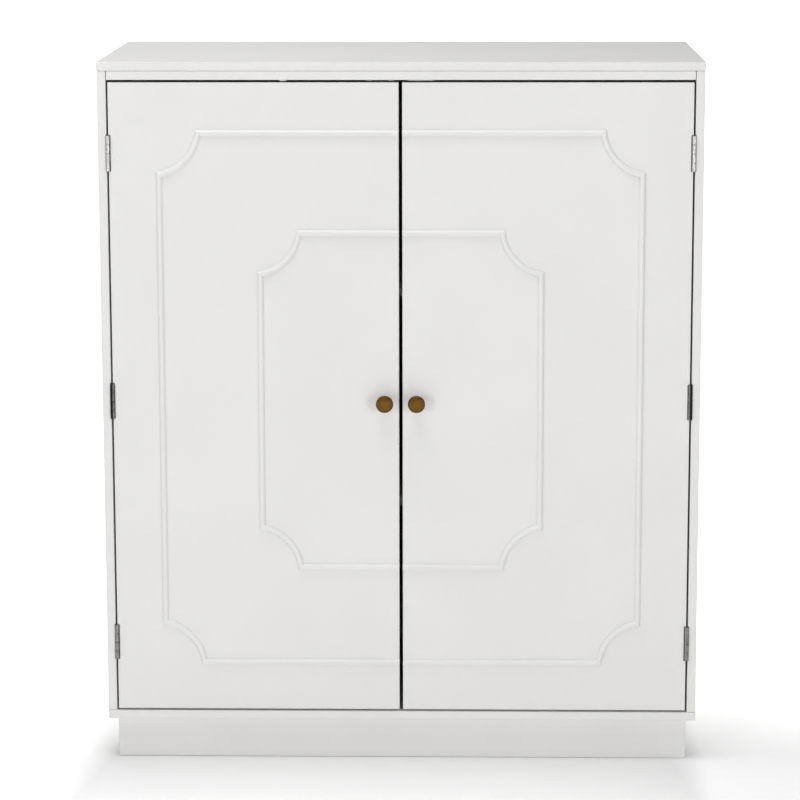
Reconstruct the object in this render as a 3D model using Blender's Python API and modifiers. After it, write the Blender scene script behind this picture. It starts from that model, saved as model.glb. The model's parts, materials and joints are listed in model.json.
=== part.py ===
"""A short two-door armoire: a board carcass on a plinth, with inset doors on butt hinges.

The cabinet stands on the XY plane and faces -Y. The origin is the middle of the footprint,
counting the knobs. All sizes are in metres. The doors hang on two empties that lie on the
hinge pins, so turning an empty about Z opens its door.
"""

import math

import bmesh
import bpy
from mathutils import Vector

# Driving dimensions.
WIDTH = 0.850  # over the two side panels
DEPTH = 0.415  # front edge to back edge of the top
HEIGHT = 1.010  # floor to top
BOARD = 0.0125  # thickness of every carcass board
TOP_OVERHANG = 0.001  # the top passes each side panel by this much
PLINTH_HEIGHT = 0.060
PLINTH_SETBACK = 0.013
DOOR_THICKNESS = 0.016
TOUCH = 0.0003  # left between two faces that meet
EASED = 0.0008  # bevel on the edges of the boards

# Gaps around the two inset doors.
SIDE_GAP = 0.0026
TOP_GAP = 0.0035
BOTTOM_GAP = 0.003
CENTRE_GAP = 0.005

# Hinges: unswaged steel butts, so each leaf lies flush with the outside of the barrel.
HINGE_LENGTH = 0.0508
HINGE_END_MARGIN = 0.074  # from the door's end to the nearest hinge
HINGES_PER_DOOR = 3
KNUCKLES = 4
KNUCKLE_RADIUS = 0.0029
KNUCKLE_CLEARANCE = 0.0003
PIN_RADIUS = 0.0013
BORE_RADIUS = 0.0014
LEAF_THICKNESS = 0.001
LEAF_WIDTH = 0.013
PIN_PROUD = 0.001  # the pin's axis stands this far in front of the door face
PIN_FROM_SIDE_PANEL = 0.0017
KNUCKLE_RELIEF = 0.0012  # the door is cut back this much further round the barrel

# Bead mouldings: two rectangles with scooped corners, each shared by both doors.
BEAD_WIDTH = 0.009
BEAD_HEIGHT = 0.0038
BEAD_MARGINS = {"outer": 0.066, "inner": 0.207}  # outline of both doors to the bead's edge
SCOOP_WIDTH = 0.055
SCOOP_HEIGHT = 0.0585
SCOOP_RADIUS = 0.068
SCOOP_STEPS = 10
BEAD_ROUNDNESS = 4  # bevel resolution of the bead's section

# Knobs.
KNOB_RADIUS = 0.0124
KNOB_PROJECTION = 0.025
KNOB_FROM_CENTRE = 0.0226
KNOB_NECK_RADIUS = 0.0048
KNOB_FOOT_RADIUS = 0.0072
KNOB_HEAD_THICKNESS = 0.009
KNOB_BORE_RADIUS = 0.0022
KNOB_BORE_DEPTH = 0.013
KNOB_STEPS = 24
SCREW_RADIUS = 0.0019
SCREW_HEAD_RADIUS = 0.0045
SCREW_HEAD_HEIGHT = 0.0024
SCREW_LENGTH = 0.026  # under the head
DOOR_HOLE_RADIUS = 0.0024

# Inside.
RAIL_DEPTH = 0.080
BACK_THICKNESS = 0.005
BACK_INSET = 0.003
SHELF_CLEARANCE = 0.001  # at each end of a shelf
SHELF_SETBACK = 0.020  # from the doors' backs to a shelf's front edge
SHELF_LEVELS = {"lower": 0.370, "upper": 0.675}  # underside of each shelf
PEG_RADIUS = 0.0025
PEG_LENGTH = 0.008
SHOULDER_RADIUS = 0.0035
SHOULDER_LENGTH = 0.009
PEG_HOLE_RADIUS = 0.0027
PEG_HOLE_DEPTH = 0.0085
PEG_HOLE_SPACING = 0.050
PEG_HOLES_EACH_WAY = 1  # spare holes above and below each used hole
PEG_INSET = 0.050  # from a shelf's front or back edge to its pegs
BLOCK = 0.025  # side of the plinth's glue blocks
BLOCK_HEIGHT = 0.050

# Magnetic catches behind the top corners of the doors, and the bumper pad.
CATCH_LENGTH = 0.037
CATCH_BODY_LENGTH = 0.024
CATCH_DEPTH = 0.014
CATCH_HEIGHT = 0.011
CATCH_EAR_THICKNESS = 0.002
CATCH_FROM_CENTRE = 0.0286
STRIKE_LENGTH = 0.034
STRIKE_HEIGHT = 0.012
STRIKE_THICKNESS = 0.001
STRIKE_FROM_DOOR_TOP = 0.003
PAD_RADIUS = 0.0055
PAD_THICKNESS = 0.0015
PAD_X = -0.164
PAD_FROM_FRONT = 0.007

# Levels and faces that follow from the sizes above.
FRONT = (KNOB_PROJECTION - DEPTH) / 2
BACK = FRONT + DEPTH
SIDE_OUTSIDE = WIDTH / 2
SIDE_INSIDE = SIDE_OUTSIDE - BOARD
FLOOR_TOP = PLINTH_HEIGHT + BOARD
TOP_UNDERSIDE = HEIGHT - BOARD
RAIL_UNDERSIDE = TOP_UNDERSIDE - BOARD
DOOR_BOTTOM = FLOOR_TOP + BOTTOM_GAP
DOOR_TOP = RAIL_UNDERSIDE - TOP_GAP
DOOR_MIDDLE = (DOOR_BOTTOM + DOOR_TOP) / 2
DOOR_OUTER_EDGE = SIDE_INSIDE - SIDE_GAP
DOOR_BACK = FRONT + DOOR_THICKNESS
PIN_X = SIDE_INSIDE - PIN_FROM_SIDE_PANEL
PIN_Y = FRONT - PIN_PROUD
BACK_PANEL_FRONT = BACK - BACK_INSET - BACK_THICKNESS
SHELF_FRONT = DOOR_BACK + SHELF_SETBACK
SIDES = {"left": -1, "right": 1}

COLOURS = {
    "white_paint": ((0.80, 0.795, 0.785), 0.42, 0.0),
    "inside_paint": ((0.74, 0.735, 0.72), 0.50, 0.0),
    "hardboard": ((0.46, 0.33, 0.21), 0.75, 0.0),
    "bare_wood": ((0.62, 0.47, 0.30), 0.70, 0.0),
    "hinge_steel": ((0.55, 0.54, 0.52), 0.32, 1.0),
    "antique_brass": ((0.20, 0.10, 0.026), 0.35, 1.0),
    "screw_steel": ((0.60, 0.60, 0.60), 0.30, 1.0),
    "catch_plastic": ((0.10, 0.09, 0.08), 0.50, 0.0),
    "felt": ((0.42, 0.41, 0.39), 0.95, 0.0),
}


# ---------------------------------------------------------------- scene and materials


def clear_scene():
    """Remove every object that the new scene starts with."""
    for thing in list(bpy.data.objects):
        bpy.data.objects.remove(thing, do_unlink=True)


def make_collection(name):
    collection = bpy.data.collections.new(name)
    bpy.context.scene.collection.children.link(collection)
    return collection


def make_material(name, colour, roughness, metallic):
    material = bpy.data.materials.new(name)
    material.use_nodes = True
    shader = material.node_tree.nodes["Principled BSDF"]
    shader.inputs["Base Color"].default_value = (*colour, 1.0)
    shader.inputs["Roughness"].default_value = roughness
    shader.inputs["Metallic"].default_value = metallic
    material.diffuse_color = (*colour, 1.0)
    return material


clear_scene()
PARTS = make_collection("armoire")
CUTTERS = make_collection("cutters")
MATERIALS = {name: make_material(name, *look) for name, look in COLOURS.items()}


# ---------------------------------------------------------------- building blocks


def add_object(name, mesh, material, location, parent=None):
    """Link a part at a world location, under its parent where it has one."""
    part = bpy.data.objects.new(name, mesh)
    if not mesh.materials:
        mesh.materials.append(MATERIALS[material])
    PARTS.objects.link(part)
    part.parent = parent
    part.location = Vector(location) - (parent.location if parent else Vector())
    return part


def mesh_from(bm, name):
    bmesh.ops.recalc_face_normals(bm, faces=bm.faces)
    mesh = bpy.data.meshes.new(name)
    bm.to_mesh(mesh)
    bm.free()
    return mesh


def box_mesh(name, size):
    """A box of the given size about its own centre."""
    bm = bmesh.new()
    bmesh.ops.create_cube(bm, size=1.0)
    bmesh.ops.scale(bm, vec=size, verts=bm.verts)
    return mesh_from(bm, name)


def box(name, x, y, z, material, parent=None, eased=EASED):
    """A board that spans the ranges x, y and z, with lightly eased edges."""
    low = Vector(min(span) for span in (x, y, z))
    high = Vector(max(span) for span in (x, y, z))
    board = add_object(name, box_mesh(name, high - low), material, (low + high) / 2, parent)
    if eased:
        bevel = board.modifiers.new("eased_edges", "BEVEL")
        bevel.width = eased
        bevel.segments = 1
    return board


def smooth(mesh, angle=math.radians(35)):
    mesh.shade_smooth()
    mesh.set_sharp_from_angle(angle=angle)


def add_cylinder(bm, centre, axis, radius, length, segments):
    """Add a cylinder about an axis, one of X, Y and Z, to a bmesh."""
    made = bmesh.ops.create_cone(
        bm, cap_ends=True, segments=segments, radius1=radius, radius2=radius, depth=length
    )
    turn = Vector((0, 0, 1)).rotation_difference(axis).to_matrix()
    bmesh.ops.rotate(bm, verts=made["verts"], cent=(0, 0, 0), matrix=turn)
    bmesh.ops.translate(bm, verts=made["verts"], vec=centre)


def add_box(bm, low, high):
    made = bmesh.ops.create_cube(bm, size=1.0)
    bmesh.ops.scale(bm, verts=made["verts"], vec=high - low)
    bmesh.ops.translate(bm, verts=made["verts"], vec=(low + high) / 2)


def cutter(name, bm):
    """A hidden object in world coordinates that a Boolean takes away from a part."""
    tool = bpy.data.objects.new(name, mesh_from(bm, name))
    CUTTERS.objects.link(tool)
    tool.hide_render = True
    tool.display_type = "WIRE"
    return tool


def cut(part, tool, operation="DIFFERENCE"):
    boolean = part.modifiers.new(tool.name, "BOOLEAN")
    boolean.operation = operation
    boolean.solver = "EXACT"
    boolean.object = tool


def turned(name, profile, steps, material, location, rotation, parent=None):
    """A solid of revolution: profile is a list of (radius, height), top to bottom outside."""
    bm = bmesh.new()
    verts = [bm.verts.new((radius, 0, height)) for radius, height in profile]
    for start, end in zip(verts, verts[1:]):
        bm.edges.new((start, end))
    mesh = bpy.data.meshes.new(name)
    bm.to_mesh(mesh)
    bm.free()
    part = add_object(name, mesh, material, location, parent)
    part.rotation_euler = rotation
    screw = part.modifiers.new("turned", "SCREW")
    screw.steps = steps
    screw.render_steps = steps
    screw.use_merge_vertices = True
    screw.merge_threshold = 0.00001
    screw.use_smooth_shade = True
    return part


# ---------------------------------------------------------------- carcass


def peg_places():
    """Depth and height of every shelf peg on one side of the cabinet."""
    depths = (SHELF_FRONT + PEG_INSET, BACK_PANEL_FRONT - TOUCH - PEG_INSET)
    for level_name, level in SHELF_LEVELS.items():
        for depth_name, depth in zip(("front", "back"), depths):
            yield level_name, depth_name, depth, level - TOUCH - SHOULDER_RADIUS


def cut_peg_holes(panel, side):
    bm = bmesh.new()
    middle = side * (SIDE_INSIDE + PEG_HOLE_DEPTH / 2 - TOUCH)
    for _, _, depth, height in peg_places():
        for step in range(-PEG_HOLES_EACH_WAY, PEG_HOLES_EACH_WAY + 1):
            centre = (middle, depth, height + step * PEG_HOLE_SPACING)
            length = PEG_HOLE_DEPTH + 2 * TOUCH
            add_cylinder(bm, centre, Vector((1, 0, 0)), PEG_HOLE_RADIUS, length, 12)
    cut(panel, cutter(f"{panel.name}_peg_holes", bm))


def hinge_heights():
    """Middle of each hinge, bottom to top."""
    lowest = DOOR_BOTTOM + HINGE_END_MARGIN + HINGE_LENGTH / 2
    highest = DOOR_TOP - HINGE_END_MARGIN - HINGE_LENGTH / 2
    step = (highest - lowest) / (HINGES_PER_DOOR - 1)
    return [lowest + step * count for count in range(HINGES_PER_DOOR)]


def add_mortises(bm, side, inner, outer, back):
    """One slot at each hinge, between two distances from the middle of the cabinet."""
    half = HINGE_LENGTH / 2 + KNUCKLE_CLEARANCE
    for height in hinge_heights():
        ends = sorted((side * inner, side * outer))
        add_box(
            bm,
            Vector((ends[0], FRONT - BOARD, height - half)),
            Vector((ends[1], back, height + half)),
        )


def make_side_panel(side_name, side):
    panel = box(
        f"{side_name}_side_panel",
        (side * SIDE_INSIDE, side * SIDE_OUTSIDE),
        (FRONT, BACK),
        (FLOOR_TOP + TOUCH, TOP_UNDERSIDE - TOUCH),
        "white_paint",
    )
    cut_peg_holes(panel, side)
    bm = bmesh.new()
    leaf_face = PIN_X + KNUCKLE_RADIUS + TOUCH
    add_mortises(bm, side, SIDE_INSIDE - BOARD, leaf_face, PIN_Y + LEAF_WIDTH + TOUCH)
    cut(panel, cutter(f"{panel.name}_mortises", bm))


def make_carcass():
    top_half = SIDE_OUTSIDE + TOP_OVERHANG
    span = SIDE_INSIDE - TOUCH
    box("top_panel", (-top_half, top_half), (FRONT, BACK), (TOP_UNDERSIDE, HEIGHT), "white_paint")
    box(
        "bottom_panel",
        (-SIDE_OUTSIDE, SIDE_OUTSIDE),
        (FRONT, BACK),
        (PLINTH_HEIGHT, FLOOR_TOP),
        "white_paint",
    )
    for side_name, side in SIDES.items():
        make_side_panel(side_name, side)
    rail_levels = (RAIL_UNDERSIDE, TOP_UNDERSIDE - TOUCH)
    box("top_front_rail", (-span, span), (FRONT, FRONT + RAIL_DEPTH), rail_levels, "white_paint")
    rear = BACK_PANEL_FRONT - TOUCH
    box("top_rear_rail", (-span, span), (rear - RAIL_DEPTH, rear), rail_levels, "inside_paint")
    box(
        "back_panel",
        (-span, span),
        (BACK_PANEL_FRONT, BACK_PANEL_FRONT + BACK_THICKNESS),
        (FLOOR_TOP + TOUCH, TOP_UNDERSIDE - TOUCH),
        "hardboard",
        eased=0,
    )


def make_plinth():
    outside = SIDE_OUTSIDE - PLINTH_SETBACK
    front = FRONT + PLINTH_SETBACK
    back = BACK - PLINTH_SETBACK
    levels = (0, PLINTH_HEIGHT - TOUCH)
    box("plinth_front", (-outside, outside), (front, front + BOARD), levels, "white_paint")
    box("plinth_back", (-outside, outside), (back - BOARD, back), levels, "white_paint")
    inside_front = front + BOARD + TOUCH
    inside_back = back - BOARD - TOUCH
    block_top = PLINTH_HEIGHT - TOUCH
    for side_name, side in SIDES.items():
        box(
            f"plinth_{side_name}",
            (side * (outside - BOARD), side * outside),
            (inside_front, inside_back),
            levels,
            "white_paint",
        )
        corner = side * (outside - BOARD - TOUCH)
        for end_name, start, reach in (("front", inside_front, BLOCK), ("back", inside_back, -BLOCK)):
            box(
                f"glue_block_{end_name}_{side_name}",
                (corner, corner - side * BLOCK),
                (start, start + reach),
                (block_top - BLOCK_HEIGHT, block_top),
                "bare_wood",
            )


def make_shelves():
    half = SIDE_INSIDE - SHELF_CLEARANCE
    for level_name, level in SHELF_LEVELS.items():
        box(
            f"shelf_{level_name}",
            (-half, half),
            (SHELF_FRONT, BACK_PANEL_FRONT - TOUCH),
            (level, level + BOARD),
            "inside_paint",
        )


def make_shelf_pegs():
    """Shouldered steel pegs: the thin end is in the side panel, the shelf rests on the thick end."""
    chamfer = SHOULDER_RADIUS - PEG_RADIUS
    profile = [
        (0, SHOULDER_LENGTH),
        (PEG_RADIUS, SHOULDER_LENGTH),
        (SHOULDER_RADIUS, SHOULDER_LENGTH - chamfer),
        (SHOULDER_RADIUS, 0),
        (PEG_RADIUS, 0),
        (PEG_RADIUS, -PEG_LENGTH),
        (0, -PEG_LENGTH),
    ]
    for side_name, side in SIDES.items():
        for level_name, depth_name, depth, height in peg_places():
            turned(
                f"shelf_peg_{level_name}_{depth_name}_{side_name}",
                profile,
                12,
                "screw_steel",
                (side * (SIDE_INSIDE - TOUCH), depth, height),
                (0, -side * math.pi / 2, 0),
            )


# ---------------------------------------------------------------- hinges


def knuckle_span(index):
    """Lowest and highest point of one knuckle, about the hinge's middle."""
    pitch = HINGE_LENGTH / KNUCKLES
    low = -HINGE_LENGTH / 2 + index * pitch
    return low + KNUCKLE_CLEARANCE / 2, low + pitch - KNUCKLE_CLEARANCE / 2


def knuckle_cylinders(name, indices, radius, stretch):
    bm = bmesh.new()
    for index in indices:
        low, high = knuckle_span(index)
        centre = (0, 0, (low + high) / 2)
        add_cylinder(bm, centre, Vector((0, 0, 1)), radius, high - low + stretch, 16)
    return cutter(name, bm)


def leaf_mesh(name, plate_side, own_first):
    """A hinge leaf about its pin: a plate behind the barrel and every second knuckle."""
    own = range(own_first, KNUCKLES, 2)
    others = range(1 - own_first, KNUCKLES, 2)
    half = HINGE_LENGTH / 2 - KNUCKLE_CLEARANCE / 2
    faces = sorted((plate_side * KNUCKLE_RADIUS, plate_side * (KNUCKLE_RADIUS - LEAF_THICKNESS)))
    bm = bmesh.new()
    add_box(bm, Vector((faces[0], 0, -half)), Vector((faces[1], LEAF_WIDTH, half)))
    pattern = bpy.data.objects.new(f"{name}_pattern", mesh_from(bm, name))
    CUTTERS.objects.link(pattern)
    pattern.hide_render = True
    pattern.display_type = "WIRE"
    cut(pattern, knuckle_cylinders(f"{name}_knuckles", own, KNUCKLE_RADIUS, 0), "UNION")
    room = KNUCKLE_RADIUS + KNUCKLE_CLEARANCE
    gap = 2 * KNUCKLE_CLEARANCE
    cut(pattern, knuckle_cylinders(f"{name}_clearance", others, room, gap))
    bm = bmesh.new()
    add_cylinder(bm, (0, 0, 0), Vector((0, 0, 1)), BORE_RADIUS, 2 * HINGE_LENGTH, 16)
    cut(pattern, cutter(f"{name}_bore", bm))
    depsgraph = bpy.context.evaluated_depsgraph_get()
    mesh = bpy.data.meshes.new_from_object(pattern.evaluated_get(depsgraph))
    mesh.name = name
    mesh.materials.clear()
    mesh.materials.append(MATERIALS["hinge_steel"])
    smooth(mesh)
    bpy.data.objects.remove(pattern, do_unlink=True)
    return mesh


def pin_mesh():
    bm = bmesh.new()
    add_cylinder(bm, (0, 0, 0), Vector((0, 0, 1)), PIN_RADIUS, HINGE_LENGTH, 16)
    mesh = mesh_from(bm, "hinge_pin")
    smooth(mesh)
    return mesh


def make_hinges(door_axes):
    """The right hinges are the left ones turned half a turn about Y, as a plain butt hinge is."""
    frame_leaf = leaf_mesh("hinge_frame_leaf", -1, 0)
    door_leaf = leaf_mesh("hinge_door_leaf", 1, 1)
    pin = pin_mesh()
    for side_name, side in SIDES.items():
        turn = (0, 0 if side < 0 else math.pi, 0)
        for level_name, height in zip(("lower", "middle", "upper"), hinge_heights()):
            place = (side * PIN_X, PIN_Y, height)
            stem = f"{side_name}_{level_name}_hinge"
            for name, mesh, parent in (
                ("frame_leaf", frame_leaf, None),
                ("door_leaf", door_leaf, door_axes[side_name]),
                ("pin", pin, None),
            ):
                piece = add_object(f"{stem}_{name}", mesh, "hinge_steel", place, parent)
                piece.rotation_euler = turn


# ---------------------------------------------------------------- doors


def make_door_axis(side_name, side):
    axis = bpy.data.objects.new(f"{side_name}_door_axis", None)
    axis.empty_display_size = 0.1
    axis.location = (side * PIN_X, PIN_Y, 0)
    PARTS.objects.link(axis)
    return axis


def make_door_panel(side_name, side, axis):
    panel = box(
        f"{side_name}_door_panel",
        (side * CENTRE_GAP / 2, side * DOOR_OUTER_EDGE),
        (FRONT, DOOR_BACK),
        (DOOR_BOTTOM, DOOR_TOP),
        "white_paint",
        axis,
    )
    leaf_face = PIN_X - KNUCKLE_RADIUS - TOUCH
    bm = bmesh.new()
    add_mortises(bm, side, leaf_face, SIDE_INSIDE, PIN_Y + LEAF_WIDTH + TOUCH)
    cut(panel, cutter(f"{side_name}_leaf_mortises", bm))
    bm = bmesh.new()
    relief_back = PIN_Y + KNUCKLE_RADIUS + KNUCKLE_RELIEF
    add_mortises(bm, side, leaf_face - KNUCKLE_RELIEF, SIDE_INSIDE, relief_back)
    cut(panel, cutter(f"{side_name}_knuckle_reliefs", bm))
    bm = bmesh.new()
    centre = (side * KNOB_FROM_CENTRE, (FRONT + DOOR_BACK) / 2, DOOR_MIDDLE)
    add_cylinder(bm, centre, Vector((0, 1, 0)), DOOR_HOLE_RADIUS, 2 * DOOR_THICKNESS, 12)
    cut(panel, cutter(f"{side_name}_knob_hole", bm))


def scoop_arc(start, end):
    """Points of the shallow arc from start to end that bows towards the doors' middle."""
    chord = end - start
    inward = Vector((0, DOOR_MIDDLE)) - (start + end) / 2
    across = Vector((-chord.y, chord.x)).normalized()
    if across.dot(inward) < 0:
        across = -across
    drop = math.sqrt(SCOOP_RADIUS**2 - (chord.length / 2) ** 2)
    centre = (start + end) / 2 - across * drop
    first = start - centre
    sweep = first.angle_signed(end - centre)
    for step in range(SCOOP_STEPS + 1):
        turn = -sweep * step / SCOOP_STEPS
        spun = Vector(
            (
                first.x * math.cos(turn) - first.y * math.sin(turn),
                first.x * math.sin(turn) + first.y * math.cos(turn),
            )
        )
        yield centre + spun


def bead_path(side, margin):
    """Centre line of one door's half of a moulding, from the top run to the bottom run."""
    inset = margin + BEAD_WIDTH / 2
    edge = side * (DOOR_OUTER_EDGE - inset)
    top = DOOR_TOP - inset
    bottom = DOOR_BOTTOM + inset
    free_end = side * CENTRE_GAP / 2
    across = edge - side * SCOOP_WIDTH
    path = [Vector((free_end, top))]
    path += scoop_arc(Vector((across, top)), Vector((edge, top - SCOOP_HEIGHT)))
    path += scoop_arc(Vector((edge, bottom + SCOOP_HEIGHT)), Vector((across, bottom)))
    path.append(Vector((free_end, bottom)))
    return path


def make_bead(name, side, margin, axis):
    """A flat-backed bead: a round tube along the path, flattened, then halved at its back."""
    points = bead_path(side, margin)
    curve = bpy.data.curves.new(name, "CURVE")
    curve.dimensions = "2D"
    curve.fill_mode = "NONE"
    curve.bevel_depth = BEAD_WIDTH / 2
    curve.bevel_resolution = BEAD_ROUNDNESS
    curve.use_fill_caps = True
    spline = curve.splines.new("POLY")
    spline.points.add(len(points) - 1)
    for spline_point, point in zip(spline.points, points):
        spline_point.co = (point.x, point.y, 0, 1)
    tube = bpy.data.objects.new(f"{name}_tube", curve)
    CUTTERS.objects.link(tube)
    depsgraph = bpy.context.evaluated_depsgraph_get()
    tube_mesh = bpy.data.meshes.new_from_object(tube.evaluated_get(depsgraph))
    bpy.data.objects.remove(tube, do_unlink=True)
    bm = bmesh.new()
    bm.from_mesh(tube_mesh)
    bmesh.ops.remove_doubles(bm, verts=bm.verts, dist=0.00001)
    bmesh.ops.scale(bm, vec=(1, 1, BEAD_HEIGHT / (BEAD_WIDTH / 2)), verts=bm.verts)
    whole = list(bm.verts) + list(bm.edges) + list(bm.faces)
    halved = bmesh.ops.bisect_plane(
        bm, geom=whole, plane_co=(0, 0, 0), plane_no=(0, 0, 1), clear_inner=True
    )
    rim = [piece for piece in halved["geom_cut"] if isinstance(piece, bmesh.types.BMEdge)]
    bmesh.ops.contextual_create(bm, geom=rim)
    mesh = mesh_from(bm, name)
    smooth(mesh)
    bead = add_object(name, mesh, "white_paint", (0, FRONT - TOUCH, 0), axis)
    bead.rotation_euler = (math.pi / 2, 0, 0)


def knob_profile():
    """Knob profile from the middle of its face to the blind hole in its foot."""
    edge_radius = KNOB_HEAD_THICKNESS / 2
    rim_middle = KNOB_PROJECTION - edge_radius
    dome = 0.0006
    profile = [(0, KNOB_PROJECTION), (KNOB_RADIUS - edge_radius, KNOB_PROJECTION - dome)]
    for step in range(1, 7):
        angle = math.pi / 2 - math.pi * step / 7
        radius = KNOB_RADIUS - edge_radius + edge_radius * math.cos(angle)
        profile.append((radius, rim_middle + (edge_radius - dome) * math.sin(angle)))
    profile += [
        (KNOB_NECK_RADIUS, rim_middle - edge_radius - 0.0015),
        (KNOB_NECK_RADIUS, 0.005),
        (KNOB_FOOT_RADIUS, 0.0018),
        (KNOB_FOOT_RADIUS, TOUCH),
        (KNOB_BORE_RADIUS, TOUCH),
        (KNOB_BORE_RADIUS, KNOB_BORE_DEPTH),
        (0, KNOB_BORE_DEPTH),
    ]
    return profile


def screw_profile():
    """A pan-head screw that points up, from its tip to the middle of its head."""
    return [
        (0, SCREW_LENGTH),
        (SCREW_RADIUS * 0.7, SCREW_LENGTH),
        (SCREW_RADIUS, SCREW_LENGTH - SCREW_RADIUS),
        (SCREW_RADIUS, 0),
        (SCREW_HEAD_RADIUS, 0),
        (SCREW_HEAD_RADIUS, -SCREW_HEAD_HEIGHT / 2),
        (SCREW_HEAD_RADIUS * 0.75, -SCREW_HEAD_HEIGHT),
        (0, -SCREW_HEAD_HEIGHT),
    ]


def make_knob(side_name, side, axis):
    outwards = (math.pi / 2, 0, 0)
    x = side * KNOB_FROM_CENTRE
    place = (x, FRONT, DOOR_MIDDLE)
    turned(f"{side_name}_knob", knob_profile(), KNOB_STEPS, "antique_brass", place, outwards, axis)
    place = (x, DOOR_BACK + TOUCH, DOOR_MIDDLE)
    turned(f"{side_name}_knob_screw", screw_profile(), 16, "screw_steel", place, outwards, axis)


def make_strike_plate(side_name, side, axis):
    middle = side * CATCH_FROM_CENTRE
    top = DOOR_TOP - STRIKE_FROM_DOOR_TOP
    box(
        f"{side_name}_strike_plate",
        (middle - STRIKE_LENGTH / 2, middle + STRIKE_LENGTH / 2),
        (DOOR_BACK + TOUCH, DOOR_BACK + TOUCH + STRIKE_THICKNESS),
        (top - STRIKE_HEIGHT, top),
        "screw_steel",
        axis,
        eased=0,
    )


# ---------------------------------------------------------------- catches and pad


def make_catch(side_name, side):
    """A magnet housing under a thin plate with an ear at each end, screwed to the top rail."""
    ear = CATCH_LENGTH / 2
    body = CATCH_BODY_LENGTH / 2
    outline = [(-ear, 0), (-ear, -CATCH_EAR_THICKNESS), (-body, -CATCH_EAR_THICKNESS)]
    outline.append((-body, -CATCH_HEIGHT))
    outline += [(-x, y) for x, y in reversed(outline)]
    curve = bpy.data.curves.new(f"{side_name}_magnetic_catch", "CURVE")
    curve.dimensions = "2D"
    curve.fill_mode = "BOTH"
    curve.extrude = CATCH_DEPTH / 2
    spline = curve.splines.new("POLY")
    spline.points.add(len(outline) - 1)
    spline.use_cyclic_u = True
    for spline_point, (x, y) in zip(spline.points, outline):
        spline_point.co = (x, y, 0, 1)
    curve.materials.append(MATERIALS["catch_plastic"])
    catch = bpy.data.objects.new(curve.name, curve)
    PARTS.objects.link(catch)
    front = DOOR_BACK + TOUCH + STRIKE_THICKNESS + TOUCH
    catch.rotation_euler = (math.pi / 2, 0, 0)
    catch.location = (
        side * CATCH_FROM_CENTRE,
        front + CATCH_DEPTH / 2,
        RAIL_UNDERSIDE - TOUCH,
    )


def make_bumper_pad():
    bm = bmesh.new()
    add_cylinder(bm, (0, 0, 0), Vector((0, 0, 1)), PAD_RADIUS, PAD_THICKNESS, 20)
    mesh = mesh_from(bm, "bumper_pad")
    smooth(mesh)
    height = RAIL_UNDERSIDE - TOUCH - PAD_THICKNESS / 2
    add_object("bumper_pad", mesh, "felt", (PAD_X, FRONT + PAD_FROM_FRONT, height))


# ---------------------------------------------------------------- assembly


def make_door(side_name, side):
    axis = make_door_axis(side_name, side)
    make_door_panel(side_name, side, axis)
    for bead_name, margin in BEAD_MARGINS.items():
        make_bead(f"{side_name}_{bead_name}_moulding", side, margin, axis)
    make_knob(side_name, side, axis)
    make_strike_plate(side_name, side, axis)
    return axis


def main():
    make_carcass()
    make_plinth()
    make_shelves()
    make_shelf_pegs()
    door_axes = {side_name: make_door(side_name, side) for side_name, side in SIDES.items()}
    make_hinges(door_axes)
    for side_name, side in SIDES.items():
        make_catch(side_name, side)
    make_bumper_pad()


main()
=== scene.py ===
"""Looks of a short white two-door armoire: fine pieces and procedural finishes on its CAD frame."""

import json
import math

import bmesh
import bpy
from mathutils import Matrix, Vector, noise


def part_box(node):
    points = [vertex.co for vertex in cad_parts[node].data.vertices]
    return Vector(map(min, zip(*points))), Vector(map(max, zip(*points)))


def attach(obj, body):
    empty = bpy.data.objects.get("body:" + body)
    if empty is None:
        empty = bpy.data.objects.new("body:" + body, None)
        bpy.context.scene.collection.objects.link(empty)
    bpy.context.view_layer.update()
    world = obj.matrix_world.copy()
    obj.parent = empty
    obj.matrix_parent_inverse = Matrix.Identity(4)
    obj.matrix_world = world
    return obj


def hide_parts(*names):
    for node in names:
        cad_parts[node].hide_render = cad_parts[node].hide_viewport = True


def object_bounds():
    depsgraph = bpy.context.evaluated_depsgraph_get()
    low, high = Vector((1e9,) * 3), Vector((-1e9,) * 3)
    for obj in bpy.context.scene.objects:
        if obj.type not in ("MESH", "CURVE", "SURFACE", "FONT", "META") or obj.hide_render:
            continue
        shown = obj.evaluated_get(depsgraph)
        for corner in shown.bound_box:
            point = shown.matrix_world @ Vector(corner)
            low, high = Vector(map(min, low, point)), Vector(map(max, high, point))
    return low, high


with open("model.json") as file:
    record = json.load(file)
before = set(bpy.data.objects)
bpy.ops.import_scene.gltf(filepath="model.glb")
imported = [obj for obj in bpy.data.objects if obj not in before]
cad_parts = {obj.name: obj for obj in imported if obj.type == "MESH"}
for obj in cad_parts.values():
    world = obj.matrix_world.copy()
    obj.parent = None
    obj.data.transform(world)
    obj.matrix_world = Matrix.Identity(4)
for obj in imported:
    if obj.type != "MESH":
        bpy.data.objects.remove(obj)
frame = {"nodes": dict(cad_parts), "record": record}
cad_low, cad_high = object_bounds()

# Rounded edges, in metres.
BOARD_ARRIS = 0.0009
RUB_WIDTH = 0.004  # how far the change of finish along an edge reaches
ARRIS_STEPS = 3

# Edges that bend by more than this are shaded sharp.
BOARD_BEND = math.radians(40)
BEAD_BEND = math.radians(28)
METAL_BEND = math.radians(30)
PEG_BEND = math.radians(35)
KNOB_BEND = math.radians(45)

# Bead mouldings. Their outlines come from the CAD boxes.
BEAD_WIDTH = 0.009
SCOOP_WIDTH = 0.055
SCOOP_HEIGHT = 0.0585
SCOOP_RADIUS = 0.068
SCOOP_STEPS = 28
BEAD_STEPS = 14
BEAD_FULLNESS = 2.2  # 2 is a parabola, more is fuller

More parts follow.
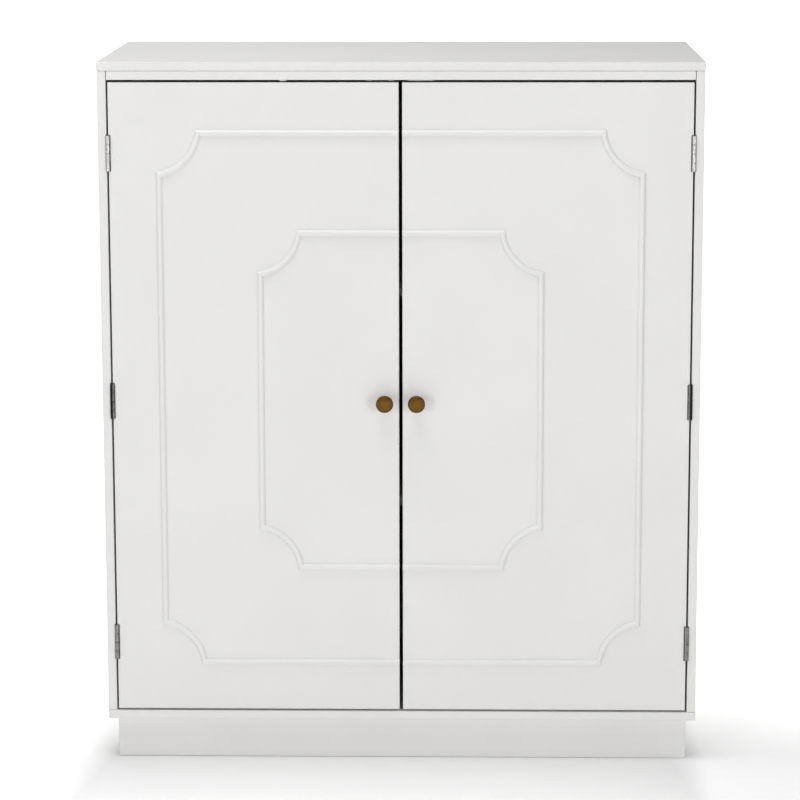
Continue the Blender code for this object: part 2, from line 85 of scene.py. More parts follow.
# Hinges.
KNUCKLES = 4
KNUCKLE_GAP = 0.0005
KNUCKLE_CHAMFER = 0.0004
KNUCKLE_RELIEF = 0.0012  # the doors are cut back this much further round the barrels
LEAF_THICKNESS = 0.001
LEAF_CORNER = 0.0016
MORTISE_ROOM = 0.0003
BORE_RADIUS = 0.0014
PIN_CHAMFER = 0.0004
HINGE_SCREW_RADIUS = 0.0025
HINGE_SCREW_ROW = 0.0086  # from the pin to the middle of the screws
HINGE_SCREW_STAGGER = 0.00084  # to and fro about that line
HINGE_SCREW_SPAN = 0.68  # from the middle screw to an outer one, as a part of the half length
COUNTERSINK_ROOM = 0.0002
COUNTERSINK_DEPTH = 0.0012
HINGE_WEAR_AND_PAINTED_LIGHT = {  # roughness, tarnish, shade and polish; shade is painted shade that makes the middle hinges the darkest and the lower ones grey, and polish is a painted highlight on the barrels' door side, strongest on the middle hinges
    "lower": (0.40, 0.35, 0.50, 1.3),
    "middle": (0.36, 0.30, 0.03, 26.0),
    "upper": (0.30, 0.08, 0.90, 1.1),
}

# Boards, their holes, and the nails of the back.
RAIL_END_GAP = 0.0005  # the open joints at the ends of the front rail
CUT_PAST = 0.02  # how far a cutter passes the outside of a board
PEG_HOLE_RADIUS = 0.0027
PEG_HOLE_DEPTH = 0.0088
PEG_HOLE_SPACING = 0.050
KNOB_HOLE_RADIUS = 0.0024
NAIL_SPACING = 0.13
NAIL_INSET = 0.007
NAIL_RADIUS = 0.0016
NAIL_SUNK = 0.0006

# Screws. The first three are parts of the head's radius.
SCREW_SHANK = 0.45
SCREW_RECESS = 0.55
SCREW_RECESS_DEPTH = 0.5
SCREW_RECESS_WIDTH = 0.22  # a part of the recess's length
SCREW_EDGE = 0.00015  # height of the head's upright edge
SCREW_SEGMENTS = 28

# Knobs.
KNOB_SEGMENTS = 72
KNOB_HEAD_THICKNESS = 0.009
KNOB_RIM_INSET = 0.0030  # from the outline to the face's flat part
KNOB_RIM_STEPS = 15
KNOB_RIM_FULLNESS = 0.75  # 1 is an ellipse, less is fuller
KNOB_CROWN = 0.00015  # how far the middle of the face stands over its flat part's edge
KNOB_NECK = 0.0046
KNOB_NECK_STEPS = 6
KNOB_FOOT = 0.0072
KNOB_BORE_RADIUS = 0.0022
KNOB_BORE_DEPTH = 0.013
KNOB_SCREW_HEAD = 0.0024
RIM_PAINTED_SHADE = 0.10  # painted shade: the rims of the knobs are painted darker than their faces, for the dark reflection on their curve
RIM_WIDTH = 0.0045

# Magnetic catches, strike plates and shelf pegs.
CATCH_PLATE_THICKNESS = 0.002
CATCH_BODY_LENGTH = 0.024
CATCH_SCREW_FROM_BODY = 0.0034
CATCH_POLES = {"upper": 0.0022, "lower": 0.0062}  # down from the plate
POLE_THICKNESS = 0.0012
POLE_DEPTH = 0.004
LIP_THICKNESS = 0.0010
LIP_WIDTH = 0.0065
LIP_FROM_FRONT = 0.0014
STRIKE_SCREW_SPREAD = 0.0143
PEG_SHELF_RADIUS = 0.0035
PEG_TAIL_RADIUS = 0.0025
PEG_CHAMFER = 0.0003

# The print of a wire screen on the rough side of the hardboard.
SCREEN_WIRES = 210  # per metre
WAVE_LENGTH = math.pi / 10  # from wave to wave in a wave texture of scale 1

SIDES = {"left": -1, "right": 1}
LEVELS = ("lower", "middle", "upper")
Y_AXIS = Vector((0, 1, 0))
Z_AXIS = Vector((0, 0, 1))

BODY_OF = {
    node: body
    for body, nodes in frame["record"]["behaviour"]["bodies"].items()
    for node in nodes
}
SLOT_OF = {name: node.data.materials[0].name for name, node in frame["nodes"].items()}


# ---------------------------------------------------------------- camera, floor and light

CAMERA_PLACE = Vector((0.09475, -4.50672, 1.33246))
CAMERA_TURN = 0.02224  # angles in radians
CAMERA_TILT = 0.18372
CAMERA_ROLL = -0.00174
CAMERA_LENS = 138.86

FLOOR_SIZE = 30
FLOOR_DROP = 0.0003  # keeps the floor clear of the plinth's underside
FLOOR_TONES = (0.90, 0.92)

# The floor glows a little as painted light, except next to the cabinet, where the glow is held back
# to paint a soft contact shadow. Each reach is the distance from the cabinet where that glow starts
# and is full.
FLOOR_GLOW = 0.27
FLOOR_FRONT_REACH = (-0.02, 0.30)
FLOOR_SIDE_REACH = (-0.02, 0.03)
FLOOR_GLOW_SHIFT = 0.016  # towards the right, where the side glow starts earlier
FLOOR_GLOW_BACK = 1.0
FLOOR_BACK_SPAN = (-0.17, 0.60)  # in y: where the plain white background starts and is full
AMBIENT_LIGHT = 0.29

SOFTBOXES = {  # place, aim, width, height, watts
    "left_softbox": ((-1.75, -2.9, 0.8), (0, 0, 0.5), 0.5, 0.6, 16.5),
    "right_softbox": ((1.75, -2.9, 0.8), (0, 0, 0.5), 0.5, 0.6, 17.5),
    "overhead_softbox": ((-0.9, 0.9, 2.9), (-0.2, 0.2, 0), 3.0, 2.0, 21),
    "upper_softbox": ((-0.4, -0.9, 3.0), (-0.1, -0.3, 0), 1.8, 1.3, 31),
}


def add_to_scene(thing):
    bpy.context.scene.collection.objects.link(thing)
    return thing


def make_camera():
    camera = add_to_scene(bpy.data.objects.new("camera", bpy.data.cameras.new("camera")))
    camera.data.sensor_width = 36
    camera.data.lens = CAMERA_LENS
    camera.data.clip_end = 200
    turn = Matrix.Rotation(CAMERA_TURN, 4, "Z")
    tilt = Matrix.Rotation(math.pi / 2 - CAMERA_TILT, 4, "X")
    roll = Matrix.Rotation(CAMERA_ROLL, 4, "Z")
    camera.matrix_world = Matrix.Translation(CAMERA_PLACE) @ turn @ tilt @ roll
    bpy.context.scene.camera = camera


def make_softbox(name, place, aim, width, height, power):
    light = bpy.data.lights.new(name, "AREA")
    light.shape = "RECTANGLE"
    light.size = width
    light.size_y = height
    light.energy = power
    softbox = add_to_scene(bpy.data.objects.new(name, light))
    direction = Vector(aim) - Vector(place)
    softbox.matrix_world = (
        Matrix.Translation(place) @ direction.to_track_quat("-Z", "Y").to_matrix().to_4x4()
    )


def make_studio():
    world = bpy.data.worlds.new("studio")
    bpy.context.scene.world = world
    world.use_nodes = True
    background = world.node_tree.nodes["Background"]
    background.inputs["Color"].default_value = (1.0, 1.0, 1.0, 1.0)
    background.inputs["Strength"].default_value = AMBIENT_LIGHT
    bpy.context.scene.view_settings.view_transform = "Standard"
    for name, settings in SOFTBOXES.items():
        make_softbox(name, *settings)


def floor_glow(finish):
    """Strength of the floor's glow, from the distances in front of, beside and behind."""
    place = finish.node("ShaderNodeSeparateXYZ", {0: finish.place})
    shifted = finish.calculate(place.outputs["X"], FLOOR_GLOW_SHIFT)
    beside = finish.calculate(finish.calculate(shifted, 0.0, "ABSOLUTE"), cad_high.x, "SUBTRACT")
    ahead = finish.calculate(cad_low.y, place.outputs["Y"], "SUBTRACT")
    side_glow = finish.spread(beside, 0.0, FLOOR_GLOW, *FLOOR_SIDE_REACH)
    front_glow = finish.spread(ahead, 0.0, FLOOR_GLOW, *FLOOR_FRONT_REACH)
    back_glow = finish.spread(place.outputs["Y"], 0.0, FLOOR_GLOW_BACK, *FLOOR_BACK_SPAN)
    return finish.calculate(finish.calculate(side_glow, front_glow, "MAXIMUM"), back_glow)


def make_floor():
    bm = bmesh.new()
    bmesh.ops.create_grid(bm, x_segments=24, y_segments=24, size=FLOOR_SIZE)
    bmesh.ops.translate(bm, verts=bm.verts, vec=(0, 0, -FLOOR_DROP))
    mesh = bpy.data.meshes.new("floor")
    bm.to_mesh(mesh)
    bm.free()
    floor = add_to_scene(bpy.data.objects.new("floor", mesh))
    finish = Finish("glowing_pale_floor", roughness=0.9)
    tone = finish.spread(finish.noise(0.6), *FLOOR_TONES)
    finish.colour(tone, (0.0, 0.0, 0.0), (1.0, 1.0, 1.0))
    # The floor's glow is painted light, held back next to the cabinet as a painted contact shadow.
    finish.link(floor_glow(finish), "Emission Strength")
    finish.shader.inputs["Emission Color"].default_value = (1.0, 1.0, 1.0, 1.0)
    finish.shader.inputs["Specular IOR Level"].default_value = 0.1
    mesh.materials.append(finish.material)


# ---------------------------------------------------------------- finishes


class Finish:
    """A procedural material: one Principled shader, and short calls for the nodes that feed it."""

    def __init__(self, name, roughness, metallic=0.0):
        self.material = bpy.data.materials.new(name)
        self.material.use_nodes = True
        self.tree = self.material.node_tree
        self.shader = self.tree.nodes["Principled BSDF"]
        self.shader.inputs["Roughness"].default_value = roughness
        self.shader.inputs["Metallic"].default_value = metallic
        self.place = self.tree.nodes.new("ShaderNodeTexCoord").outputs["Object"]
        self.normal = None

    def node(self, kind, inputs, **settings):
        """A node with its settings, and each input either linked or given a value."""
        made = self.tree.nodes.new(kind)
        for setting, value in settings.items():
            setattr(made, setting, value)
        for socket, value in inputs.items():
            if isinstance(value, bpy.types.NodeSocket):
                self.tree.links.new(value, made.inputs[socket])
            else:
                made.inputs[socket].default_value = value
        return made

    def noise(self, size, stretch=(1, 1, 1), detail=3.0):
        """Noise with features about size metres across, drawn out along the axes by stretch."""
        scale = [1 / (size * factor) for factor in stretch]
        mapped = self.node("ShaderNodeMapping", {"Vector": self.place, "Scale": scale})
        grain = self.node(
            "ShaderNodeTexNoise",
            {"Vector": mapped.outputs["Vector"], "Scale": 1.0, "Detail": detail},
        )
        return grain.outputs[0]

    def spread(self, value, low, high, start=0.35, end=0.65):
        """Value, stretched so that start becomes low and end becomes high."""
        inputs = {"Value": value, 1: start, 2: end, 3: low, 4: high}
        return self.node("ShaderNodeMapRange", inputs).outputs[0]

    def rub(self):
        """How strongly a point is marked, from 0 to 1, as stored on its mesh: worn edges on boards
        and plates, a painted highlight on hinge barrels and painted shade on knob rims.
        """
        return self.node("ShaderNodeAttribute", {}, attribute_name="rub").outputs["Fac"]

    def calculate(self, first, second, operation="ADD"):
        """Two values or sockets put together by one operation."""
        return self.node("ShaderNodeMath", {0: first, 1: second}, operation=operation).outputs[0]

    def mix(self, factor, first, second):
        inputs = {"Factor": factor, 6: as_colour(first), 7: as_colour(second)}
        return self.node("ShaderNodeMix", inputs, data_type="RGBA").outputs[2]

    def colour(self, factor, first, second):
        mixed = self.mix(factor, first, second)
        self.tree.links.new(mixed, self.shader.inputs["Base Color"])

    def link(self, value, socket):
        self.tree.links.new(value, self.shader.inputs[socket])

    def bump(self, height, depth):
        """Raise the surface by up to depth metres where height is 1. Calls add up."""
        inputs = {"Height": height, "Distance": depth, "Strength": 1.0}
        if self.normal:
            inputs["Normal"] = self.normal
        self.normal = self.node("ShaderNodeBump", inputs).outputs["Normal"]
        self.link(self.normal, "Normal")


def as_colour(value):
    """A colour with its alpha, or a socket as it is."""
    return value if isinstance(value, bpy.types.NodeSocket) else (*value, 1.0)


def tinted(colour, factor):
    return tuple(channel * factor for channel in colour)


def slot_colour(slot):
    entry = next(item for item in frame["record"]["materials"] if item["slot"] == slot)
    return tuple(entry["base_color"])


def paint(slot, run, roughness):
    """Sprayed and rolled white paint: a fine stipple, faint strokes along run and dulled edges."""
    finish = Finish(f"{slot}_{'xyz'[run]}", roughness)
    base = slot_colour(slot)
    stretch = [1, 1, 1]
    stretch[run] = 30
    strokes = finish.noise(0.0022, stretch)
    clouds = finish.noise(0.16, detail=4.0)
    stipple = finish.noise(0.0011, detail=2.0)
    grime = finish.spread(clouds, 0.0, 1.0)
    body = finish.mix(grime, tinted(base, 0.985), tinted(base, 1.01))
    rub_and_light_mask = finish.calculate(finish.rub(), finish.spread(finish.noise(0.012), 0.15, 0.7), "MULTIPLY")
    finish.colour(rub_and_light_mask, body, tinted(base, 0.94))
    gloss = finish.spread(strokes, roughness - 0.05, roughness + 0.06)
    finish.link(finish.calculate(gloss, finish.calculate(rub_and_light_mask, 0.12, "MULTIPLY")), "Roughness")
    finish.bump(strokes, 0.000012)
    finish.bump(stipple, 0.000018)
    return finish.material


def hardboard(slot):
    """Pressed wood fibre: a speckled brown, with the wire-mesh print of its rough side."""
    finish = Finish(slot, 0.8)
    base = slot_colour(slot)
    fibres = finish.noise(0.0016, (2.5, 1, 1), detail=5.0)
    clouds = finish.noise(0.12)
    speckled = finish.mix(finish.spread(fibres, 0, 1), tinted(base, 0.72), tinted(base, 1.22))
    finish.colour(finish.spread(clouds, 0.0, 0.35), speckled, tinted(base, 0.8))
    screen_print = finish.calculate(screen_wave(finish, "X"), screen_wave(finish, "Z"), "MULTIPLY")
    finish.bump(screen_print, 0.00012)
    finish.bump(fibres, 0.00008)
    return finish.material


def screen_wave(finish, direction):
    """Even waves across one direction, one for each wire of the screen."""
    scale = SCREEN_WIRES * WAVE_LENGTH
    inputs = {"Vector": finish.place, "Scale": scale, "Distortion": 0.0}
    return finish.node("ShaderNodeTexWave", inputs, bands_direction=direction).outputs["Fac"]


def bare_wood(slot):
    """Sawn softwood, with growth rings that run along the block."""
    finish = Finish(slot, 0.75)
    base = slot_colour(slot)
    inputs = {"Vector": finish.place, "Scale": 55.0, "Distortion": 3.0, "Detail": 3.0}
    rings = finish.node("ShaderNodeTexWave", inputs, bands_direction="X").outputs["Fac"]
    pores = finish.noise(0.0006, (1, 1, 25), detail=4.0)
    ringed = finish.mix(rings, tinted(base, 1.08), tinted(base, 0.72))
    finish.colour(finish.spread(pores, 0.0, 0.5), ringed, tinted(base, 0.6))
    finish.bump(pores, 0.00008)
    return finish.material


def brushed_metal(name, slot, run, roughness, tarnish, tone_and_painted_shade=1.0, polish_and_painted_light=1.45):
    """Plated metal with fine scratches along run and clouds of tarnish.

    Shade changes its brightness all over; on the hinges it is painted shade, darker or lighter by
    their height. Polish changes it where the piece is marked: above 1 those places are brighter, and
    below 1 they are darker. The marks are worn edges on the strike plates, a painted highlight on the
    hinge barrels and painted shade on the knob rims.
    """
    finish = Finish(name, roughness, metallic=1.0)
    base = tinted(slot_colour(slot), tone_and_painted_shade)
    stretch = [1, 1, 1]
    stretch[run] = 40
    scratches = finish.noise(0.00018, stretch, detail=4.0)
    clouds = finish.noise(0.004, detail=5.0)
    body = finish.mix(finish.spread(clouds, 0, 1), tinted(base, 1 - tarnish), tinted(base, 1.1))
    # The marked places are brightened or darkened: worn edges, and on the hinges and knobs a painted
    # highlight and painted shade.
    rub_and_light_mask = finish.calculate(finish.rub(), finish.spread(finish.noise(0.0015), 0.3, 1.0), "MULTIPLY")
    finish.colour(rub_and_light_mask, body, tinted(base, polish_and_painted_light))
    rough = finish.spread(scratches, roughness - 0.07, roughness + 0.12)
    finish.link(rough, "Roughness")
    finish.bump(scratches, 0.000006)
    return finish.material


def moulded_plastic(slot):
    """Dull plastic with the fine grain of its mould."""
    finish = Finish(slot, 0.45)
    base = slot_colour(slot)
    grain = finish.noise(0.0004, detail=4.0)
    finish.colour(finish.spread(grain, 0, 1), tinted(base, 0.85), tinted(base, 1.15))
    finish.link(finish.spread(grain, 0.38, 0.55), "Roughness")
    finish.bump(grain, 0.00002)
    return finish.material


def felt(slot):
    """Pressed felt: fuzzy fibres that are lighter at their tips."""
    finish = Finish(slot, 0.95)
    base = slot_colour(slot)
    fibres = finish.noise(0.0005, detail=8.0)
    finish.colour(finish.spread(fibres, 0, 1), tinted(base, 1.2), tinted(base, 2.2))
    finish.shader.inputs["Sheen Weight"].default_value = 0.5
    finish.bump(fibres, 0.0003)
    return finish.material


def make_finishes():
    """Every finish by its slot. Paint has one for each direction of its strokes."""
    finishes = {}
    for run in range(3):
        finishes["white_paint", run] = paint("white_paint", run, 0.40)
        finishes["inside_paint", run] = paint("inside_paint", run, 0.52)
    finishes["hardboard"] = hardboard("hardboard")
    finishes["bare_wood"] = bare_wood("bare_wood")
    # One hinge steel for each height, painted darker or lighter as shade for the reflections at that
    # height, with a painted highlight on the barrels' door side.
    for level, hinge_settings in HINGE_WEAR_AND_PAINTED_LIGHT.items():
        finishes["hinge_steel", level] = brushed_metal(
            f"hinge_steel_{level}", "hinge_steel", 2, *hinge_settings
        )
    # The knobs' rims are painted darker as shade.
    finishes["antique_brass"] = brushed_metal(
        "antique_brass", "antique_brass", 1, 0.36, 0.14, 1.05, RIM_PAINTED_SHADE
    )
    finishes["screw_steel"] = brushed_metal("screw_steel", "screw_steel", 0, 0.30, 0.12)
    finishes["catch_plastic"] = moulded_plastic("catch_plastic")
    finishes["felt"] = felt("felt")
    return finishes


# ---------------------------------------------------------------- mesh building blocks


def as_mesh(bm, name):
    bmesh.ops.recalc_face_normals(bm, faces=bm.faces)
    mesh = bpy.data.meshes.new(name)
    bm.to_mesh(mesh)
    bm.free()
    return mesh


def as_object(bm, name):
    return add_to_scene(bpy.data.objects.new(name, as_mesh(bm, name)))


def rounded_box(low, high, radius, steps=ARRIS_STEPS, rub_width=RUB_WIDTH):
    """A box with rounded edges and, where there is room, a line of vertices along each edge."""
    low = Vector(low)
    high = Vector(high)
    bm = bmesh.new()
    bmesh.ops.create_cube(bm, size=1.0)
    bmesh.ops.scale(bm, vec=high - low, verts=bm.verts)
    bmesh.ops.translate(bm, vec=(low + high) / 2, verts=bm.verts)
    for axis in range(3):
        inset = min(rub_width, (high[axis] - low[axis]) / 3)
        normal = Vector([float(axis == other) for other in range(3)])
        for place in (low[axis] + inset, high[axis] - inset):
            whole = list(bm.verts) + list(bm.edges) + list(bm.faces)
            bmesh.ops.bisect_plane(bm, geom=whole, plane_co=normal * place, plane_no=normal)
    sharp = [edge for edge in bm.edges if edge.calc_face_angle(0) > 1]
    bmesh.ops.bevel(
        bm, geom=sharp, offset=radius, segments=steps, profile=0.5, affect="EDGES"
    )
    return bm


def plain_box(low, high):
    """A sharp box, used only as a cutter."""
    bm = bmesh.new()
    low = Vector(low)
    high = Vector(high)
    bmesh.ops.create_cube(bm, size=1.0)
    bmesh.ops.scale(bm, vec=high - low, verts=bm.verts)
    bmesh.ops.translate(bm, vec=(low + high) / 2, verts=bm.verts)
    return bm


def turned(profile, segments):
    """A solid of revolution about Z from (radius, height) pairs that start and end on the axis."""
    bm = bmesh.new()
    rings = []
    for radius, height in profile:
        if radius == 0:
            rings.append([bm.verts.new((0, 0, height))])
            continue
        angles = [2 * math.pi * step / segments for step in range(segments)]
        rings.append(
            [bm.verts.new((radius * math.cos(a), radius * math.sin(a), height)) for a in angles]
        )
    for upper, lower in zip(rings, rings[1:]):
        for step in range(segments):
            following = (step + 1) % segments
            corners = [upper[step % len(upper)], upper[following % len(upper)]]
            corners += [lower[following % len(lower)], lower[step % len(lower)]]
            unique = list(dict.fromkeys(corners))
            if len(unique) > 2:
                bm.faces.new(unique)
    return bm


def rod(radius, start, end, segments=32):
    """A straight cylinder from start to end, used only as a cutter."""
    start = Vector(start)
    end = Vector(end)
    bm = turned([(0, 0), (radius, 0), (radius, 1), (0, 1)], segments)
    bmesh.ops.scale(bm, vec=(1, 1, (end - start).length), verts=bm.verts)
    bmesh.ops.transform(bm, matrix=facing(end - start, start), verts=bm.verts)
    return bm


def facing(direction, place):
    """The matrix that turns +Z to a direction and moves the origin to a place."""
    turn = Z_AXIS.rotation_difference(Vector(direction).normalized())
    return Matrix.Translation(place) @ turn.to_matrix().to_4x4()


def freeze(piece):
    """Apply every modifier of a piece to its mesh."""
    depsgraph = bpy.context.evaluated_depsgraph_get()
    mesh = bpy.data.meshes.new_from_object(piece.evaluated_get(depsgraph))
    piece.modifiers.clear()
    piece.data = mesh


def combine(piece, bms, operation="DIFFERENCE"):
    """Take each bmesh away from a piece, or add it, one after the other."""
    tools = [as_object(bm, "tool") for bm in bms]
    for tool in tools:
        boolean = piece.modifiers.new("combine", "BOOLEAN")
        boolean.operation = operation
        boolean.solver = "EXACT"
        boolean.object = tool
    freeze(piece)
    for tool in tools:
        bpy.data.objects.remove(tool)


def take_mesh(piece):
    """The mesh of a helper object, which is removed."""
    mesh = piece.data
    bpy.data.objects.remove(piece)
    return mesh


def stamp(mesh, matrices):
    """One bmesh with a copy of a mesh at each matrix."""
    bm = bmesh.new()
    for matrix in matrices:
        first = len(bm.verts)
        bm.from_mesh(mesh)
        bm.verts.ensure_lookup_table()
        bmesh.ops.transform(bm, matrix=matrix, verts=bm.verts[first:])
    return bm


def mark_rub(mesh, closeness):
    """Store how strongly each vertex is marked, from a function of its place: worn edges on boards
    and plates, a painted highlight on hinge barrels, painted shade on knob rims.
    """
    rub = mesh.attributes.new("rub", "FLOAT", "POINT")
    for vertex in mesh.vertices:
        rub.data[vertex.index].value = closeness(vertex.co)


def box_rub(low, high):
    """Closeness to the edges of a box: 1 on an edge, 0 from RUB_WIDTH away."""

    def closeness(place):
        margins = sorted(min(place[i] - low[i], high[i] - place[i]) for i in range(3))
        return min(1.0, max(0.0, 1 - (margins[1] - BOARD_ARRIS) / RUB_WIDTH))

    return closeness


def soften(piece, angle=BOARD_BEND):
    """Smooth shading over rounded edges that leaves the flat faces flat."""
    piece.data.shade_smooth()
    piece.data.set_sharp_from_angle(angle=angle)
    weighted = piece.modifiers.new("weighted", "WEIGHTED_NORMAL")
    weighted.keep_sharp = True
    weighted.weight = 100
    freeze(piece)


def install(piece, node, finish):
    """Let a piece stand for a CAD node: same body, and a procedural finish."""
    piece.data.materials.clear()
    piece.data.materials.append(finish)
    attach(piece, BODY_OF[node])
    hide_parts(node)


def add_detail(piece, body, finish):
    """A piece that has no CAD node of its own, such as a set of screws."""
    piece.data.materials.clear()
    piece.data.materials.append(finish)
    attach(piece, body)


# ---------------------------------------------------------------- boards


def longest_axis(low, high):
    return max(range(3), key=lambda axis: high[axis] - low[axis])


def make_board(node, cutters=(), end_gap=0.0):
    """A board in its CAD box, less the cutters, and shorter by end_gap at each end in x."""
    low, high = (Vector(corner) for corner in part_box(node))
    low.x += end_gap
    high.x -= end_gap
    piece = as_object(rounded_box(low, high, BOARD_ARRIS), f"{node}_fine")
    if cutters:
        combine(piece, cutters)
    mark_rub(piece.data, box_rub(low, high))
    soften(piece)
    slot = SLOT_OF[node]
    if slot.endswith("paint"):
        install(piece, node, FINISHES[slot, longest_axis(low, high)])
    else:
        install(piece, node, FINISHES[slot])
    return piece


def hinge_pins(side_name):
    """Middle and half length of each hinge pin on one side."""
    for level in LEVELS:
        low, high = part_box(f"{side_name}_{level}_hinge_pin")
        yield (low + high) / 2, (high.z - low.z) / 2


def hinge_slots(side_name, side, inner, outer, back):
    """Cutters at each hinge, between two distances outwards from the pin."""
    for middle, half in hinge_pins(side_name):
        ends = sorted((middle.x + side * inner, middle.x + side * outer))
        half += MORTISE_ROOM
        low = (ends[0], middle.y - CUT_PAST, middle.z - half)
        high = (ends[1], middle.y + back, middle.z + half)
        yield plain_box(low, high)


def peg_holes(side_name, side):
    """The hole of each peg, and a spare one above and below it."""
    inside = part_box(f"{side_name}_side_panel")[0 if side > 0 else 1].x
    for level in ("lower", "upper"):
        for depth in ("front", "back"):
            low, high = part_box(f"shelf_peg_{level}_{depth}_{side_name}")
            middle = (low + high) / 2
            for step in (-1, 0, 1):
                height = middle.z + step * PEG_HOLE_SPACING
                start = (inside - side * 0.001, middle.y, height)
                end = (inside + side * PEG_HOLE_DEPTH, middle.y, height)
                yield rod(PEG_HOLE_RADIUS, start, end, 24)


def leaf_reach():
    """How far a hinge leaf's far edge lies behind the pin, and the barrel's radius."""
    low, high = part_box("left_lower_hinge_frame_leaf")
    radius = (high.x - low.x) / 2
    return high.y - (low.y + radius), radius


def make_side_panels():
    reach, radius = leaf_reach()
    for side_name, side in SIDES.items():
        cutters = list(peg_holes(side_name, side))
        outer = radius + MORTISE_ROOM
        cutters += hinge_slots(side_name, side, -CUT_PAST / 2, outer, reach + MORTISE_ROOM)
        make_board(f"{side_name}_side_panel", cutters)


def make_door_panels():
    reach, radius = leaf_reach()
    leaf_face = -radius - MORTISE_ROOM
    for side_name, side in SIDES.items():
        cutters = list(hinge_slots(side_name, side, leaf_face, CUT_PAST, reach + MORTISE_ROOM))
        relief = radius + KNUCKLE_RELIEF
        cutters += hinge_slots(side_name, side, leaf_face - KNUCKLE_RELIEF, CUT_PAST, relief)
        low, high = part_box(f"{side_name}_knob")
        middle = (low + high) / 2
        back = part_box(f"{side_name}_door_panel")[1].y
        start = (middle.x, high.y - CUT_PAST, middle.z)
        end = (middle.x, back + CUT_PAST, middle.z)
        cutters.append(rod(KNOB_HOLE_RADIUS, start, end))
        make_board(f"{side_name}_door_panel", cutters)


def make_plain_boards():
    boards = ["top_panel", "bottom_panel", "top_rear_rail"]
    boards += ["shelf_lower", "shelf_upper"]
    boards += [f"plinth_{place}" for place in ("front", "back", "left", "right")]
    boards += [f"glue_block_{end}_{side}" for end in ("front", "back") for side in SIDES]
    for node in boards:
        make_board(node)
    make_board("top_front_rail", end_gap=RAIL_END_GAP)


def nail_head():
    """A low dome, with its edge let into the board."""
    profile = [(0, 0.0005), (NAIL_RADIUS - 0.0005, 0.0004), (NAIL_RADIUS, 0.0001)]
    profile += [(NAIL_RADIUS, -NAIL_SUNK), (0, -NAIL_SUNK)]
    return as_mesh(turned(profile, 16), "nail_head")


def nail_spots(low, high):
    """Where the nails stand: along the lower and upper edges, and then along the two sides."""
    for along, across in ((0, 2), (2, 0)):
        length = high[along] - low[along]
        count = round(length / NAIL_SPACING)
        for step in range(count):
            for edge, inward in ((low[across], 1), (high[across], -1)):
                spot = high.copy()
                spot[along] = low[along] + length * (step + 0.5) / count
                spot[across] = edge + inward * NAIL_INSET
                yield facing(Y_AXIS, spot)


def make_back():
    """The back is bare hardboard outside and painted inside, and it is nailed round its rim."""
    piece = make_board("back_panel")
    piece.data.materials.append(FINISHES["inside_paint", 2])
    for face in piece.data.polygons:
        if face.normal.y < -0.9:
            face.material_index = 1
    low, high = (Vector(corner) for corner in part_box("back_panel"))
    nails = as_object(stamp(nail_head(), nail_spots(low, high)), "back_panel_nails")
    soften(nails)
    add_detail(nails, "carcass", FINISHES["screw_steel"])


# ---------------------------------------------------------------- bead mouldings


def scoop(start, end, middle):
    """Points of the shallow arc from start to end that bows towards the doors' middle."""
    chord = end - start
    across = Vector((-chord.y, chord.x)).normalized()
    if across.dot(middle - (start + end) / 2) < 0:
        across = -across
    drop = math.sqrt(SCOOP_RADIUS**2 - (chord.length / 2) ** 2)
    centre = (start + end) / 2 - across * drop
    first = start - centre
    last = end - centre
    sweep = math.atan2(first.x * last.y - first.y * last.x, first.dot(last))
    for step in range(SCOOP_STEPS + 1):
        spun = Matrix.Rotation(sweep * step / SCOOP_STEPS, 2) @ first
        yield centre + spun


def bead_path(low, high, side):
    """Centre line of half a moulding in x and z, from the top run to the bottom run."""
    half = BEAD_WIDTH / 2
    free_end, edge = (low.x, high.x - half) if side > 0 else (high.x, low.x + half)
    top = high.z - half
    bottom = low.z + half
    across = edge - side * SCOOP_WIDTH
    middle = Vector((0, (low.z + high.z) / 2))
    path = [Vector((free_end, top))]
    path += scoop(Vector((across, top)), Vector((edge, top - SCOOP_HEIGHT)), middle)
    path += scoop(Vector((edge, bottom + SCOOP_HEIGHT)), Vector((across, bottom)), middle)
    path.append(Vector((free_end, bottom)))
    return path


def bead_section(height):
    """Low rounded section as (distance from the centre line, height), from edge to edge."""
    section = []
    for step in range(BEAD_STEPS + 1):
        across = math.cos(math.pi * step / BEAD_STEPS)
        section.append((across * BEAD_WIDTH / 2, height * (1 - abs(across) ** BEAD_FULLNESS)))
    return section


def mitre(path, index):
    """Sideways direction at a point of the path, longer where the path turns sharply."""
    before = (path[index] - path[index - 1]).normalized() if index else None
    after = (path[index + 1] - path[index]).normalized() if index + 1 < len(path) else before
    before = before or after
    along = (before + after).normalized()
    sideways = Vector((-along.y, along.x))
    return sideways / along.dot(before)


def make_bead(node, side):
    """Half a moulding: its section swept along its path, and standing on the door's face."""
    low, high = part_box(node)
    path = bead_path(low, high, side)
    section = bead_section(high.y - low.y)
    bm = bmesh.new()
    rings = []
    for index, point in enumerate(path):
        sideways = mitre(path, index)
        ring = []
        for across, height in section:
            place = point + sideways * across
            ring.append(bm.verts.new((place.x, high.y - height, place.y)))
        rings.append(ring)
    for ring, following in zip(rings, rings[1:]):
        for step in range(len(section)):
            after = (step + 1) % len(section)
            bm.faces.new((ring[step], ring[after], following[after], following[step]))
    bm.faces.new(rings[0])
    bm.faces.new(rings[-1])
    piece = as_object(bm, f"{node}_fine")
    soften(piece, BEAD_BEND)
    install(piece, node, FINISHES["white_paint", 2])


# ---------------------------------------------------------------- screws


